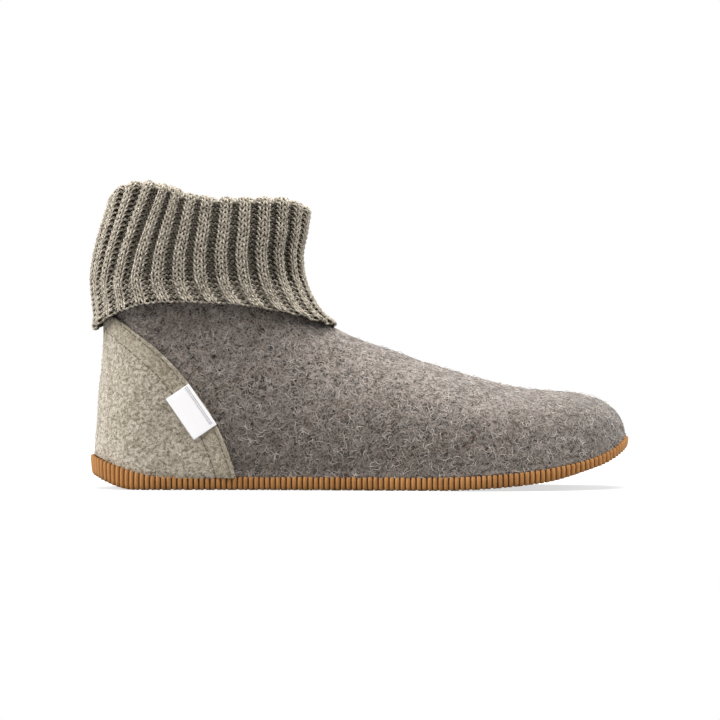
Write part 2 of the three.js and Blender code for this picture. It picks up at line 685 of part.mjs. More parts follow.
// The origin is under the middle of the boot, on the ground.
const extent = new THREE.Box3().setFromObject(boot);
boot.position.set(-(extent.min.x + extent.max.x) / 2, -(extent.min.y + extent.max.y) / 2, -extent.min.z);

export default boot;
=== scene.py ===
import math

import bmesh
import bpy
import numpy as np
from mathutils import Matrix, Vector, geometry, noise
from mathutils.bvhtree import BVHTree
from mathutils.kdtree import KDTree


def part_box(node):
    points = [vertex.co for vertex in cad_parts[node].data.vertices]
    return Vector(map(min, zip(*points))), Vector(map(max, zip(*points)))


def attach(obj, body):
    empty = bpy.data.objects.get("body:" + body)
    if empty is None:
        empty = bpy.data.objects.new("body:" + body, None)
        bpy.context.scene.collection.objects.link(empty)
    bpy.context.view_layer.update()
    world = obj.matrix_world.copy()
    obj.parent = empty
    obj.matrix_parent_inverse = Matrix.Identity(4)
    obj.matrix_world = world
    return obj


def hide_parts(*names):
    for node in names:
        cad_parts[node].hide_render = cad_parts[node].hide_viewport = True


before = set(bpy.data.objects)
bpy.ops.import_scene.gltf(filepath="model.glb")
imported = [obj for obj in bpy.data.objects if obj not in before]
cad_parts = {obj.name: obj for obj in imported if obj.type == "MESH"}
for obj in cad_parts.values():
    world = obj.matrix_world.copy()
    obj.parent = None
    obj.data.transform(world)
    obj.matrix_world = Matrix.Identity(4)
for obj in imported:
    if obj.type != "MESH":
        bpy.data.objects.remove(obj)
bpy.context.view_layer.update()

# The studio: the boot stands on a white sweep and is photographed from its outer side through a long
# lens, a little above level, with a big soft light overhead, a weaker one off each end, and a white glow
# all round.
MM = 0.001
PICTURE_WIDTH = 353.3 * MM  # what the picture takes in at the boot
CAMERA_AWAY = 3.0
CAMERA_UP = math.radians(1.0)
CAMERA_AIM = Vector((0.5, 0, 62.8)) * MM
SOFTBOXES = [
    {"name": "overhead_softbox", "size": 1.3, "watts": 50, "place": (0, -0.05, 1.5)},
    {"name": "heel_side_softbox", "size": 0.9, "watts": 24, "place": (-1.2, -0.25, 0.7)},
    {"name": "toe_side_softbox", "size": 0.9, "watts": 13, "place": (1.2, -0.25, 0.7)},
]
GLOW = 0.33  # how strongly the white surroundings light the boot
TABLE_GLOW = 0.1  # how strongly the table top lights it from below
FLOOR_SIZE = 1.5

camera_data = bpy.data.cameras.new("camera")
camera_data.sensor_width = 36
camera_data.lens = camera_data.sensor_width * CAMERA_AWAY / PICTURE_WIDTH
camera = bpy.data.objects.new("camera", camera_data)
camera.location = CAMERA_AIM + CAMERA_AWAY * Vector((0, -math.cos(CAMERA_UP), math.sin(CAMERA_UP)))
camera.rotation_euler = (math.pi / 2 - CAMERA_UP, 0, 0)
bpy.context.scene.collection.objects.link(camera)
bpy.context.scene.camera = camera
bpy.context.scene.view_settings.view_transform = "Standard"

for softbox in SOFTBOXES:
    lamp_data = bpy.data.lights.new(softbox["name"], "AREA")
    lamp_data.size = softbox["size"]
    lamp_data.energy = softbox["watts"]
    lamp = bpy.data.objects.new(softbox["name"], lamp_data)
    lamp.location = softbox["place"]
    lamp.rotation_euler = (-Vector(softbox["place"])).to_track_quat("-Z", "Y").to_euler()
    bpy.context.scene.collection.objects.link(lamp)


def linear(code):
    """An sRGB colour such as '#7b726c' as the linear RGBA that a shader takes."""
    parts = [int(code[i : i + 2], 16) / 255 for i in (1, 3, 5)]
    return tuple(p / 12.92 if p <= 0.04045 else ((p + 0.055) / 1.055) ** 2.4 for p in parts) + (1.0,)


def add_node(material, kind, settings=None, inputs=None):
    """Adds one node, with its settings, and with its inputs set to values or linked to outputs."""
    made = material.node_tree.nodes.new(kind)
    for name, value in (settings or {}).items():
        setattr(made, name, value)
    for key, value in (inputs or {}).items():
        if isinstance(value, bpy.types.NodeSocket):
            material.node_tree.links.new(value, made.inputs[key])
        else:
            made.inputs[key].default_value = value
    return made


def new_material(name):
    material = bpy.data.materials.new(name)
    material.use_nodes = True
    material.node_tree.nodes.clear()
    return material


# The camera sees the surroundings pure white, and the boot is lit by them a little less strongly.
world = bpy.data.worlds.new("white_surroundings")
bpy.context.scene.world = world
world.use_nodes = True
world.node_tree.nodes.clear()
seen = add_node(world, "ShaderNodeLightPath")
strength = add_node(
    world,
    "ShaderNodeMapRange",
    None,
    {"Value": seen.outputs["Is Camera Ray"], "To Min": GLOW, "To Max": 1.0},
)
glow = add_node(world, "ShaderNodeBackground", None, {"Color": linear("#ffffff"), "Strength": strength.outputs[0]})
add_node(world, "ShaderNodeOutputWorld", None, {"Surface": glow.outputs[0]})

# A pale matt table top lit from below, which goes pure white and keeps only a soft shadow by the sole.
paper = new_material("lit_table_top")
table_seen = add_node(paper, "ShaderNodeLightPath")
table_glow = add_node(
    paper,
    "ShaderNodeMapRange",
    None,
    {"Value": table_seen.outputs["Is Camera Ray"], "To Min": TABLE_GLOW, "To Max": 0.66},
)
paper_shader = add_node(
    paper,
    "ShaderNodeBsdfPrincipled",
    None,
    {
        "Base Color": linear("#878787"),
        "Roughness": 0.9,
        "Specular IOR Level": 0.1,
        "Emission Color": linear("#ffffff"),
        "Emission Strength": table_glow.outputs[0],
    },
)
add_node(paper, "ShaderNodeOutputMaterial", None, {"Surface": paper_shader.outputs[0]})
sweep = bmesh.new()
bmesh.ops.create_grid(sweep, x_segments=1, y_segments=1, size=FLOOR_SIZE / 2)
floor_mesh = bpy.data.meshes.new("floor")
sweep.to_mesh(floor_mesh)
sweep.free()
floor_mesh.materials.append(paper)
floor = bpy.data.objects.new("floor", floor_mesh)
bpy.context.scene.collection.objects.link(floor)

# The sole: a cup moulded in one shot from gum rubber, matt, with a plain lip round its top. Its side is
# ribbed: rounded upright ribs with narrow grooves between them, which turn under at the bottom edge.
RIB_PITCH = 2.65
RIB_ROUND = 1.08  # radius of a rib
RIB_SINK = 0.95  # how far inside the side a rib's middle line lies
RIB_TOP = 0.7  # how far above the lip it ends
RIB_SPREAD = 0.35  # how much wider the ribs grow round the toe and heel
TOE_LIFT = {"from": 90, "over": 36, "by": 3.0}  # the under edge rolls up further at the toe
HEEL_LIFT = {"from": 112, "over": 18, "by": 1.8}  # and a little at the heel
HEEL_FLARE = 0.8  # how far the lip stands out behind the heel
GROOVE_BED = 1.1  # how far the cup's side is let in behind the ribs
TREAD_HEIGHT = 0.7
STUD_PITCH = 6.0
STUD_FOOT, STUD_TOP = 2.3, 1.8  # radii of a stud at the sole and at the ground


def merged_copy(node):
    """A copy of a CAD node's mesh as a bmesh, with its loose triangles merged into a net of quads."""
    shape = bmesh.new()
    shape.from_mesh(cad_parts[node].data)
    bmesh.ops.remove_doubles(shape, verts=shape.verts, dist=0.001 * MM)
    bmesh.ops.join_triangles(
        shape, faces=shape.faces, angle_face_threshold=math.radians(70), angle_shape_threshold=math.radians(80)
    )
    for face in shape.faces:
        face.smooth = True
    return shape


def hold_edges(shape, bend):
    """Keeps the edges that bend more than an angle in place when the piece is rounded."""
    crease = shape.edges.layers.float.new("crease_edge")
    for edge in shape.edges:
        if edge.calc_face_angle(0) > math.radians(bend):
            edge[crease] = 0.75


def to_piece(shape, name, levels=0):
    """Makes a bmesh a piece, rounded by a Subdivision Surface that is applied."""
    mesh = bpy.data.meshes.new(name)
    shape.to_mesh(mesh)
    shape.free()
    for layer in [a.name for a in mesh.attributes if a.name == "custom_normal"]:
        mesh.attributes.remove(mesh.attributes[layer])
    while mesh.materials:
        mesh.materials.pop()
    piece = bpy.data.objects.new(name, mesh)
    bpy.context.scene.collection.objects.link(piece)
    if levels:
        rounding = piece.modifiers.new("rounding", "SUBSURF")
        rounding.levels = rounding.render_levels = levels
        rounding.uv_smooth = "NONE"
        bpy.context.view_layer.update()
        piece.data = bpy.data.meshes.new_from_object(piece.evaluated_get(bpy.context.evaluated_depsgraph_get()))
        piece.data.name = name
        piece.modifiers.clear()
    return piece


def tree_of(mesh):
    return BVHTree.FromPolygons([v.co for v in mesh.vertices], [p.vertices for p in mesh.polygons])


def curves_to_piece(lines, name, sides, radius, closed=False):
    """Makes lines of points, each with a share of the radius, round strands with a few sides."""
    ring = bpy.data.curves.new(name + "_section", "CURVE")
    outline = ring.splines.new("POLY")
    outline.points.add(sides - 1)
    outline.use_cyclic_u = True
    for i, point in enumerate(outline.points):
        turn = -2 * math.pi * i / sides
        point.co = (radius * math.cos(turn), radius * math.sin(turn), 0, 1)
    section = bpy.data.objects.new(name + "_section", ring)
    bpy.context.scene.collection.objects.link(section)
    curve = bpy.data.curves.new(name, "CURVE")
    curve.dimensions = "3D"
    curve.twist_mode = "MINIMUM"
    curve.bevel_mode = "OBJECT"
    curve.bevel_object = section
    curve.use_fill_caps = not closed
    for places, shares, cyclic in lines:
        strand = curve.splines.new("POLY")
        strand.points.add(len(places) - 1)
        strand.points.foreach_set("co", np.column_stack([places, np.ones(len(places))]).astype(np.float32).ravel())
        strand.points.foreach_set("radius", np.asarray(shares, np.float32))
        strand.use_cyclic_u = cyclic
        strand.use_smooth = True
    strands = bpy.data.objects.new(name + "_lines", curve)
    bpy.context.scene.collection.objects.link(strands)
    bpy.context.view_layer.update()
    mesh = bpy.data.meshes.new_from_object(strands.evaluated_get(bpy.context.evaluated_depsgraph_get()))
    mesh.name = name
    for made in (strands, section):
        data = made.data
        bpy.data.objects.remove(made)
        bpy.data.curves.remove(data)
    piece = bpy.data.objects.new(name, mesh)
    bpy.context.scene.collection.objects.link(piece)
    return piece


sole_tree = tree_of(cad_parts["outsole"].data)
sole_points = [Vector((v.co.x, v.co.y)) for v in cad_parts["outsole"].data.vertices]
hull = [sole_points[i] for i in geometry.convex_hull_2d(sole_points)]
if sum(p.cross(hull[i - 1]) for i, p in enumerate(hull)) > 0:
    hull.reverse()
hull_steps = np.array([[*(hull[(i + 1) % len(hull)] - p)] for i, p in enumerate(hull)])
hull_lengths = np.linalg.norm(hull_steps, axis=1)
rib_widths = 1 + RIB_SPREAD * (1 - np.abs(hull_steps[:, 0]) / np.maximum(hull_lengths, 1e-9))
hull_at = np.concatenate([[0], np.cumsum(hull_lengths / rib_widths)])
rib_count = round(hull_at[-1] / (RIB_PITCH * MM))


def sole_outline(at):
    """A place on the sole's plan outline, at a share of the way round, and the direction out of it."""
    along = (at % 1) * hull_at[-1]
    i = min(int(np.searchsorted(hull_at, along, side="right")) - 1, len(hull) - 1)
    ahead = hull[(i + 1) % len(hull)] - hull[i]
    place = hull[i] + ahead * ((along - hull_at[i]) / (hull_at[i + 1] - hull_at[i]))
    return Vector((place.x, place.y, 0)), Vector((ahead.y, -ahead.x, 0)).normalized()


def side_hit(place, out, height):
    """How far the sole's side stands out at a height, from a little inside the plan outline."""
    start = place + out * 20 * MM
    hit = sole_tree.ray_cast(Vector((start.x, start.y, height)), -out)[0]
    return (hit - Vector((place.x, place.y, height))).dot(out) if hit else -99 * MM


def ease(share):
    share = min(max(share, 0), 1)
    return share * share * (3 - 2 * share)


def end_lift(x):
    """How much higher the under edge lies than on the CAD solid, at a place along the sole."""
    rises = [(x / MM, TOE_LIFT), (-x / MM, HEEL_LIFT)]
    return sum(rise["by"] * ease((along - rise["from"]) / rise["over"]) for along, rise in rises) * MM


rib_lines, lip_places, foot_heights = [], [], []
for i in range(rib_count):
    edge, out = sole_outline(i / rib_count)
    inset, lip = 0, None
    while lip is None:
        inset += 0.5 * MM
        lip = sole_tree.ray_cast(edge - out * (inset + 0.5 * MM) + Vector((0, 0, 0.1)), Vector((0, 0, -1)))[0]
    foot = sole_tree.ray_cast(edge - out * (inset + 3 * MM) - Vector((0, 0, 0.1)), Vector((0, 0, 1)))[0].z
    foot_heights.append(foot)
    foot += end_lift(edge.x)
    width = 1 + RIB_SPREAD * (1 - abs(out.y))
    flare = HEEL_FLARE * ease((-edge.x / MM - HEEL_LIFT["from"]) / HEEL_LIFT["over"])
    top = lip.z + RIB_TOP * MM
    low = foot + 1.2 * MM
    line = []
    for share in (0, 0.25, 0.5, 0.75, 0.9, 1):
        height = top + (low - top) * share
        around = [sole_outline(i / rib_count + step * MM / hull_at[-1]) for step in (-0.66, 0, 0.66)]
        reach = max(side_hit(p, o, min(height, lip.z - 0.4 * MM)) for p, o in around)
        stand = reach + (flare * (1 - share) - RIB_SINK * width) * MM
        line.append(edge + Vector((0, 0, height)) + out * stand)
    line.append(line[-1] - out * 2.2 * MM + Vector((0, 0, foot + RIB_ROUND * 0.9 * MM - line[-1].z)))
    lip_places.append([edge.x, edge.y, lip.z])
    rib_lines.append((np.array(line), np.array([0.75, 1, 1, 1, 1, 1, 0.9]) * width, False))
sole_ribs = curves_to_piece(rib_lines, "sole_ribs", 10, RIB_ROUND * MM)

cup = merged_copy("outsole")
cup.normal_update()
lip_spots = KDTree(len(lip_places))
for i, spot in enumerate(lip_places):
    lip_spots.insert((spot[0], spot[1], 0), i)
lip_spots.balance()
for vertex in cup.verts:
    nearest = lip_spots.find((vertex.co.x, vertex.co.y, 0))[1]
    foot, lip_z = foot_heights[nearest], lip_places[nearest][2]
    facing_out = vertex.normal.x * vertex.co.x + vertex.normal.y * vertex.co.y > 0
    if vertex.normal.z < -0.5 or (facing_out and vertex.normal.z < 0.3):
        vertex.co.z += end_lift(vertex.co.x) * min(max((lip_z - vertex.co.z) / (lip_z - foot), 0), 1)
for vertex in cup.verts:
    if vertex.normal.z < -0.9:
        vertex.co.z += TREAD_HEIGHT * MM
    way = Vector((vertex.normal.x, vertex.normal.y, 0))
    clear = sole_tree.ray_cast(vertex.co + vertex.normal * 0.4 * MM, vertex.normal)[0] is None
    if clear and abs(vertex.normal.z) < 0.8 and way.dot(vertex.co) > 0:
        vertex.co -= way * GROOVE_BED * MM
sole_cup = to_piece(cup, "sole_cup", 1)

# Under it, rows of low six-sided studs are the tread, and they touch the ground where the sole does.
treads = bmesh.new()
for row in range(-30, 31):
    for column in range(-12, 13):
        x, y = (row * 0.866 * STUD_PITCH, (column + row % 2 / 2) * STUD_PITCH)
        clear = [
            sole_tree.ray_cast(Vector((x + dx, y + dy, -100)) * MM, Vector((0, 0, 1)))
            for dx, dy in ((0, 0), (6, 0), (-6, 0), (0, 6), (0, -6))
        ]
        if all(hit[0] is not None and hit[1].z < -0.93 for hit in clear):
            ground, face = clear[0][0] + Vector((0, 0, end_lift(clear[0][0].x))), clear[0][1]
            turn = (-face).to_track_quat("Z", "X").to_matrix().to_4x4()
            bmesh.ops.create_cone(
                treads,
                cap_ends=True,
                segments=6,
                radius1=STUD_TOP * MM,
                radius2=STUD_FOOT * MM,
                depth=(TREAD_HEIGHT + 0.5) * MM,
                matrix=Matrix.Translation(ground - face * (TREAD_HEIGHT + 0.5) / 2 * MM) @ turn,
            )
sole_tread = to_piece(treads, "sole_tread")

# Natural gum rubber, moulded: warm tan, matt, lighter where it is thin or rubbed, with faint cloudy
# mottling and fine mould grain.
gum = new_material("gum_rubber_moulded")
place = add_node(gum, "ShaderNodeTexCoord")
clouds = add_node(
    gum, "ShaderNodeTexNoise", None, {"Vector": place.outputs["Object"], "Scale": 60, "Detail": 3, "Roughness": 0.6}
)
tone = add_node(
    gum,
    "ShaderNodeMix",
    {"data_type": "RGBA"},
    {0: clouds.outputs[0], 6: linear("#875829"), 7: linear("#ba8449")},
)
grain = add_node(gum, "ShaderNodeTexNoise", None, {"Vector": place.outputs["Object"], "Scale": 2500, "Detail": 2})
relief = add_node(gum, "ShaderNodeBump", None, {"Height": grain.outputs[0], "Strength": 0.25, "Distance": 0.1 * MM})
gum_shader = add_node(
    gum,
    "ShaderNodeBsdfPrincipled",
    None,
    {
        "Base Color": tone.outputs[2],
        "Roughness": 0.55,
        "IOR": 1.52,
        "Specular IOR Level": 0.35,
        "Normal": relief.outputs[0],
    },
)
add_node(gum, "ShaderNodeOutputMaterial", None, {"Surface": gum_shader.outputs[0]})
# The cup behind the ribs is the same rubber, painted darker as the shade in the grooves between them.
groove_shade_gum = gum.copy()
groove_shade_gum.name = "gum_rubber_groove_shade"
for colour_node in [n for n in groove_shade_gum.node_tree.nodes if n.type == "MIX"]:
    colour_node.inputs[6].default_value = linear("#4c2f16")
    colour_node.inputs[7].default_value = linear("#74502a")
for piece, rubber in ((sole_cup, groove_shade_gum), (sole_ribs, gum), (sole_tread, gum)):
    piece.data.materials.append(rubber)
    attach(piece, "root")
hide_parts("outsole")

# The upper: boiled wool felt, about 3 mm thick, blocked over the last in one piece with no seam on the
# vamp. Its face is a dense mat of curly light fibres over darker wool, soft and uneven.
felt_shape = merged_copy("upper")
felt_upper = to_piece(felt_shape, "felt_upper", 2)


def roughen(mesh, ups_and_downs):
    """Moves each point along its normal by smooth noise: rows of feature size and height in mm."""
    for vertex in mesh.vertices:
        push = sum(height * noise.noise(vertex.co / (size * MM)) for size, height in ups_and_downs)
        vertex.co += vertex.normal * push * MM
    mesh.update()


roughen(felt_upper.data, [(14, 0.45), (4, 0.3), (1.8, 0.22)])


def above_lip(mesh):
    """Each point's height in mm over the nearest part of the sole's lip."""
    spots = np.array([v.co for v in mesh.vertices])
    lips = np.array(lip_places)
    heights = []
    for part in np.array_split(spots, 60):
        near = np.argmin(np.linalg.norm(part[:, None, :2] - lips[None, :, :2], axis=2), axis=1)
        heights.append(part[:, 2] - lips[near, 2])
    return np.concatenate(heights) / MM


# The felt swells out over the lip's inner edge, so no gap shows between them.
FELT_SWELL = 1.1
over_lip = above_lip(felt_upper.data)
lip_layer = felt_upper.data.attributes.new("over_lip", "FLOAT", "POINT")
lip_layer.data.foreach_set("value", over_lip.astype(np.float32))
for vertex, over in zip(felt_upper.data.vertices, over_lip):
    out = Vector((vertex.normal.x, vertex.normal.y, 0))
    if out.dot(Vector((vertex.co.x * 0.3, vertex.co.y, 0))) > 0:
        vertex.co += out * FELT_SWELL * MM * math.exp(-(((over - 0.9) / 1.5) ** 2))

felt = new_material("boiled_wool_felt")
place = add_node(felt, "ShaderNodeTexCoord")
patches = add_node(
    felt, "ShaderNodeTexNoise", None, {"Vector": place.outputs["Object"], "Scale": 75, "Detail": 3, "Roughness": 0.65}
)
patch_share = add_node(
    felt, "ShaderNodeMapRange", None, {"Value": patches.outputs[0], "From Min": 0.38, "From Max": 0.62}
)
ground = add_node(
    felt,
    "ShaderNodeMix",
    {"data_type": "RGBA"},
    {0: patch_share.outputs[0], 6: linear("#55473b"), 7: linear("#665b55")},
)
specks = add_node(
    felt, "ShaderNodeTexNoise", None, {"Vector": place.outputs["Object"], "Scale": 420, "Detail": 4, "Roughness": 0.65}
)
speck_share = add_node(
    felt, "ShaderNodeMapRange", None, {"Value": specks.outputs[0], "From Min": 0.59, "From Max": 0.4}
)
speckled = add_node(
    felt,
    "ShaderNodeMix",
    {"data_type": "RGBA"},
    {0: speck_share.outputs[0], 6: ground.outputs[2], 7: linear("#1b1815")},
)
# The net of fibres is drawn where smooth noise crosses its middle value, which gives thin curly lines.
net = None
for scale, width in ((230, 0.045), (330, 0.05), (460, 0.06)):
    swirl = add_node(
        felt,
        "ShaderNodeTexNoise",
        None,
        {"Vector": place.outputs["Object"], "Scale": scale, "Detail": 1, "Distortion": 1.2},
    )
    off = add_node(felt, "ShaderNodeMath", {"operation": "SUBTRACT"}, {0: swirl.outputs[0], 1: 0.5})
    away = add_node(felt, "ShaderNodeMath", {"operation": "ABSOLUTE"}, {0: off.outputs[0]})
    line = add_node(
        felt,
        "ShaderNodeMapRange",
        None,
        {"Value": away.outputs[0], "From Min": 0, "From Max": width, "To Min": 1, "To Max": 0},
    )
    net = line if net is None else add_node(
        felt, "ShaderNodeMath", {"operation": "MAXIMUM"}, {0: net.outputs[0], 1: line.outputs[0]}
    )
haired = add_node(
    felt, "ShaderNodeMath", {"operation": "MULTIPLY"}, {0: net.outputs[0], 1: 0.64}
)
felt_colour = add_node(
    felt,
    "ShaderNodeMix",
    {"data_type": "RGBA"},
    {0: haired.outputs[0], 6: speckled.outputs[2], 7: linear("#aba198")},
)
# The felt is darkened towards the sole: painted shade, with some of the felt's own darker tone there.
over_sole = add_node(felt, "ShaderNodeAttribute", {"attribute_name": "over_lip"})
low_shade_share = add_node(
    felt,
    "ShaderNodeMapRange",
    {"interpolation_type": "SMOOTHSTEP"},
    {"Value": over_sole.outputs["Fac"], "From Min": 55, "From Max": 4, "To Max": 0.36},
)
felt_tone = add_node(
    felt,
    "ShaderNodeMix",
    {"data_type": "RGBA"},
    {0: low_shade_share.outputs[0], 6: felt_colour.outputs[2], 7: linear("#2f2822")},
)
felt_height = add_node(
    felt, "ShaderNodeMath", {"operation": "MULTIPLY_ADD"}, {0: net.outputs[0], 1: 0.5, 2: specks.outputs[0]}
)
felt_relief = add_node(
    felt, "ShaderNodeBump", None, {"Height": felt_height.outputs[0], "Strength": 0.8, "Distance": 0.35 * MM}
)
felt_shader = add_node(
    felt,
    "ShaderNodeBsdfPrincipled",
    None,
    {
        "Base Color": felt_tone.outputs[2],
        "Roughness": 0.95,
        "Specular IOR Level": 0.1,
        "Sheen Weight": 0.35,
        "Sheen Roughness": 0.5,
        "Normal": felt_relief.outputs[0],
    },
)
add_node(felt, "ShaderNodeOutputMaterial", None, {"Surface": felt_shader.outputs[0]})
felt_upper.data.materials.append(felt)
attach(felt_upper, "root")
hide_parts("upper")

# The curly surface fibres of the felt: wool hairs that were not felted in, lying on the face in loose
# curls, with a few ends standing up as the fuzz that shows along every edge.
FIBRE_ROUND = 0.115  # drawn as strands of several hairs, because one hair is too fine to show
FIBRES_A_PIECE = 4400


def lay_fibres(piece, name, count, seed, steps, step, curl, lift, fly, keep=lambda p, n: True, round_mm=FIBRE_ROUND):
    """Curls strands over a piece's faces: each starts at a random place and turns as it goes."""
    rng = np.random.default_rng(seed)
    mesh = piece.data
    tree = tree_of(mesh)
    faces = mesh.polygons
    sizes = np.array([f.area for f in faces])
    order = rng.choice(len(sizes), size=count * 3, p=sizes / sizes.sum())
    lines = []
    for index in order:
        if len(lines) == count:
            break
        face = faces[int(index)]
        normal = face.normal
        if not keep(face.center, normal):
            continue
        spread = Vector(rng.uniform(-0.8, 0.8, 3)) * MM
        at, normal = tree.find_nearest(face.center + spread)[:2]
        way = normal.cross(Vector(rng.normal(size=3))).normalized()
        bend = rng.normal(0, curl)
        stands = rng.uniform(0.3, 1) * fly if rng.random() < 0.2 else 0
        places = []
        for k in range(steps):
            share = k / (steps - 1)
            height = lift * (0.35 + math.sin(math.pi * share)) + stands * share * share
            places.append(at + normal * height * MM)
            bend += rng.normal(0, curl * 0.6)
            side = normal.cross(way)
            way = (way * math.cos(bend) + side * math.sin(bend)).normalized()
            ahead, turned = tree.find_nearest(at + way * step * MM)[:2]
            if ahead is None or turned.dot(normal) < 0.3:
                break
            at, normal = ahead, turned
            way = (way - normal * way.dot(normal)).normalized()
        if len(places) >= 3:
            shares = np.interp(np.linspace(0, 1, len(places)), [0, 0.3, 0.7, 1], [0.35, 1, 1, 0.3])
            lines.append((np.array(places), shares, False))
    return curves_to_piece(lines, name, 3, round_mm * MM)


fibre_wool = new_material("loose_wool_fibre")
place = add_node(fibre_wool, "ShaderNodeTexCoord")
fleece = add_node(
    fibre_wool, "ShaderNodeTexNoise", None, {"Vector": place.outputs["Object"], "Scale": 180, "Detail": 2}
)
fleece_share = add_node(
    fibre_wool, "ShaderNodeMapRange", None, {"Value": fleece.outputs[0], "From Min": 0.35, "From Max": 0.65}
)
fleece_colour = add_node(
    fibre_wool,
    "ShaderNodeMix",
    {"data_type": "RGBA"},
    {0: fleece_share.outputs[0], 6: linear("#756a62"), 7: linear("#c2b9b1")},
)
fibre_shader = add_node(
    fibre_wool,
    "ShaderNodeBsdfPrincipled",
    None,
    {"Base Color": fleece_colour.outputs[2], "Roughness": 0.8, "Specular IOR Level": 0.2, "Sheen Weight": 0.3},
)
add_node(fibre_wool, "ShaderNodeOutputMaterial", None, {"Surface": fibre_shader.outputs[0]})

upper_middle = (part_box("upper")[0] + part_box("upper")[1]) / 2
cuff_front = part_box("knit_cuff")[1].x


def on_outer_face(sign):
    """Whether a face of the felt is on its outside, on one side of the boot."""

    def keep(centre, normal):
        outward = normal.y * sign > 0.25 or normal.z > 0.35 or abs(normal.x) > 0.6
        hidden = centre.x < cuff_front - 8 * MM and centre.z > 92 * MM
        inward = Vector((normal.x, normal.y, 0)).dot(Vector((centre.x * 0.3, centre.y, 0))) < 0 and normal.z < 0.9
        return centre.y * sign > 0 and outward and not hidden and not inward and centre.z > 4 * MM

    return keep


for name, sign, seed in (("felt_fibres_outer", -1, 11), ("felt_fibres_inner", 1, 12)):
    fibres = lay_fibres(felt_upper, name, FIBRES_A_PIECE, seed, 7, 0.95, 0.45, 0.12, 1.3, on_outer_face(sign))
    fibres.data.materials.append(fibre_wool)
    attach(fibres, "root")

# The insole: a cut sheet of wool felt laid in the cup, seen through the collar.
insole = to_piece(merged_copy("insole"), "insole_felt", 2)
roughen(insole.data, [(6, 0.25)])
# The copy keeps the felt's painted shade towards the sole. The insole has no over_lip heights, so it is darkened all
# over.
insole_wool = felt.copy()
insole_wool.name = "insole_wool_felt"
insole.data.materials.append(insole_wool)
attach(insole, "root")
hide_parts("insole")

# The heel counter: a patch of lighter, finer felt sewn over the back of the upper. A row of stitches
# follows its front edge, and a soft crease runs further in, where it is joined to the lining.
COUNTER_FRONT = [
    {"x": -59.6, "z": 6.7},
    {"x": -62.5, "z": 16.0},
    {"x": -66.1, "z": 25.5},
    {"x": -68.9, "z": 31.9},
    {"x": -82.8, "z": 52.5},
    {"x": -92.0, "z": 63.4},
    {"x": -101.1, "z": 71.4},
    {"x": -109.5, "z": 78.2},
    {"x": -116.5, "z": 83.6},
]
STITCH_LINE = 2.3  # the row of stitches, from the patch's front edge
CREASE_LINE = 9.5
CREASE_DEPTH = 0.45
FOOT_DROP = 0.5  # the patch's lower edge is pressed down onto the sole's lip

patch_shape = merged_copy("heel_counter")
hold_edges(patch_shape, 50)
heel_patch = to_piece(patch_shape, "heel_patch", 2)
front_line = np.array([[r["x"], r["z"]] for r in COUNTER_FRONT])


def from_front(x, z):
    """Distance in mm of a place on the patch from its front edge, seen from the side."""
    spot = np.array([x, z]) / MM
    gaps = []
    for a, b in zip(front_line[:-1], front_line[1:]):
        along = np.clip(np.dot(spot - a, b - a) / np.dot(b - a, b - a), 0, 1)
        gaps.append(np.linalg.norm(spot - a - along * (b - a)))
    return min(gaps)


roughen(heel_patch.data, [(10, 0.25), (2, 0.12)])
for vertex, over in zip(heel_patch.data.vertices, above_lip(heel_patch.data)):
    vertex.co.z -= FOOT_DROP * MM * max(0, 1 - max(over, 0) / 7)
band_layer = heel_patch.data.attributes.new("from_front", "FLOAT", "POINT")
for i, vertex in enumerate(heel_patch.data.vertices):
    gap = from_front(vertex.co.x, vertex.co.z)
    band_layer.data[i].value = gap
    vertex.co -= vertex.normal * CREASE_DEPTH * MM * math.exp(-(((gap - CREASE_LINE) / 0.9) ** 2))

patch_felt = new_material("light_wool_felt")
place = add_node(patch_felt, "ShaderNodeTexCoord")
haze = add_node(
    patch_felt, "ShaderNodeTexNoise", None, {"Vector": place.outputs["Object"], "Scale": 110, "Detail": 4}
)
patch_ground = add_node(
    patch_felt,
    "ShaderNodeMix",
    {"data_type": "RGBA"},
    {0: haze.outputs[0], 6: linear("#a89e8f"), 7: linear("#c9c0b3")},
)
dots = add_node(
    patch_felt,
    "ShaderNodeTexNoise",
    None,
    {"Vector": place.outputs["Object"], "Scale": 620, "Detail": 4, "Roughness": 0.8},
)
dot_share = add_node(
    patch_felt, "ShaderNodeMapRange", None, {"Value": dots.outputs[0], "From Min": 0.6, "From Max": 0.4}
)
patch_dotted = add_node(
    patch_felt,
    "ShaderNodeMix",
    {"data_type": "RGBA"},
    {0: dot_share.outputs[0], 6: patch_ground.outputs[2], 7: linear("#6c6250")},
)
gap = add_node(patch_felt, "ShaderNodeAttribute", {"attribute_name": "from_front"})
in_band = add_node(
    patch_felt,
    "ShaderNodeMapRange",
    None,
    {"Value": gap.outputs["Fac"], "From Min": 10.5, "From Max": 9, "To Min": 0, "To Max": 0.3},
)
patch_colour = add_node(
    patch_felt,
    "ShaderNodeMix",
    {"data_type": "RGBA"},
    {0: in_band.outputs[0], 6: patch_dotted.outputs[2], 7: linear("#8b8069")},
)
patch_relief = add_node(
    patch_felt, "ShaderNodeBump", None, {"Height": dots.outputs[0], "Strength": 0.7, "Distance": 0.25 * MM}
)
patch_shader = add_node(
    patch_felt,
    "ShaderNodeBsdfPrincipled",
    None,
    {
        "Base Color": patch_colour.outputs[2],
        "Roughness": 0.95,
        "Specular IOR Level": 0.1,
        "Sheen Weight": 0.25,
        "Normal": patch_relief.outputs[0],
    },
)
add_node(patch_felt, "ShaderNodeOutputMaterial", None, {"Surface": patch_shader.outputs[0]})
heel_patch.data.materials.append(patch_felt)
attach(heel_patch, "root")
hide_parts("heel_counter")

